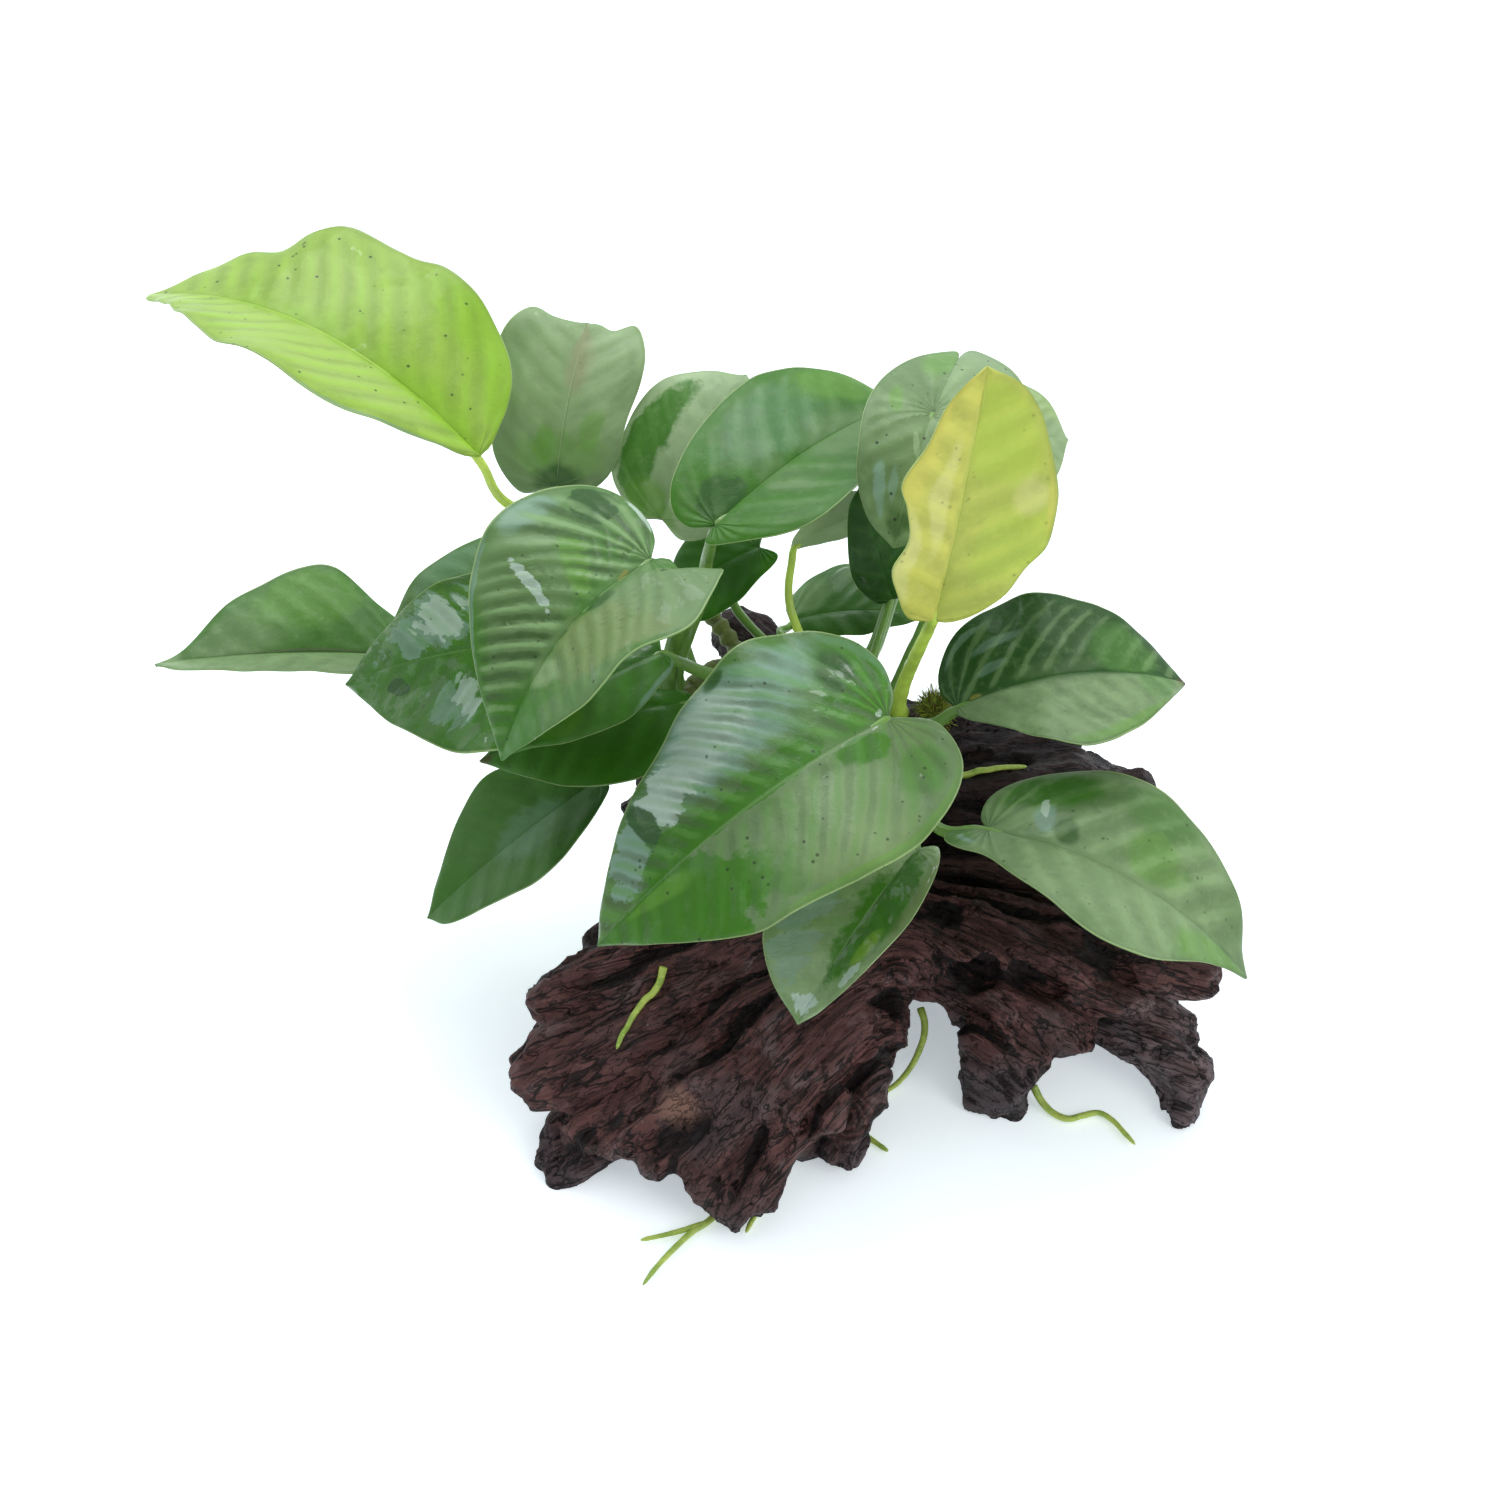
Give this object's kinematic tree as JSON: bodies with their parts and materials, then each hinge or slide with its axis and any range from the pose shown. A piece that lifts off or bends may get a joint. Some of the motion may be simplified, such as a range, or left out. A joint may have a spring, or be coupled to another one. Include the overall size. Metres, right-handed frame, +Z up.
{
  "type": "aquarium plant on driftwood",
  "caption": "Broad-leaved aquarium plant whose creeping stem is rooted along the top of an arched piece of dark driftwood.",
  "frame": {"origin": "on the ground, in the middle of the flat sole under the trunk of the wood", "axes": "+Z up; +X to the right and +Y away from the viewer, as the picture shows it"},
  "size_m": [0.2683, 0.1948, 0.1802],
  "materials": {
    "leaf_green": "glossy wet leaf",
    "leaf_light": "satin leaf",
    "leaf_yellow": "satin leaf",
    "stem_green": "satin stem",
    "stem_lime": "satin stem",
    "rhizome_green": "rough plant skin",
    "root_lime": "satin root",
    "driftwood": "rough wet wood",
    "moss": "fibrous"
  },
  "bodies": {
    "root": {"driftwood_back_branch": "driftwood", "driftwood_far": "driftwood", "driftwood_front_lobe": "driftwood", "driftwood_lower_left": "driftwood", "driftwood_middle": "driftwood", "driftwood_trunk": "driftwood", "driftwood_upper_left": "driftwood", "leaf_back_low": "leaf_green", "leaf_back_pale": "leaf_light", "leaf_far_left": "leaf_green", "leaf_far_right": "leaf_green", "leaf_front": "leaf_green", "leaf_front_low": "leaf_green", "leaf_hanging": "leaf_green", "leaf_heart": "leaf_green", "leaf_left_behind": "leaf_green", "leaf_left_glossy": "leaf_green", "leaf_low_middle": "leaf_green", "leaf_low_upper": "leaf_green", "leaf_right_lower": "leaf_green", "leaf_right_upper": "leaf_green", "leaf_shade": "leaf_green", "leaf_top_left": "leaf_light", "leaf_under_centre": "leaf_green", "leaf_upper_back": "leaf_green", "leaf_upper_centre": "leaf_green", "leaf_upper_left": "leaf_green", "leaf_upper_right": "leaf_green", "leaf_yellow": "leaf_yellow", "moss_tuft": "moss", "rhizome": "rhizome_green", "root_arch": "root_lime", "root_back": "root_lime", "root_front": "root_lime", "root_left": "root_lime", "root_middle": "root_lime", "root_right": "root_lime", "root_small": "root_lime", "stem_back_low": "stem_green", "stem_back_pale": "stem_lime", "stem_far_left": "stem_green", "stem_far_right": "stem_green", "stem_front": "stem_green", "stem_front_low": "stem_green", "stem_hanging": "stem_green", "stem_heart": "stem_green", "stem_left_behind": "stem_green", "stem_left_glossy": "stem_green", "stem_low_middle": "stem_green", "stem_low_upper": "stem_green", "stem_right_lower": "stem_green", "stem_right_upper": "stem_green", "stem_shade": "stem_green", "stem_top_left": "stem_lime", "stem_under_centre": "stem_green", "stem_upper_back": "stem_green", "stem_upper_centre": "stem_green", "stem_upper_left": "stem_green", "stem_upper_right": "stem_green", "stem_yellow": "stem_lime"}
  },
  "joints": []
}
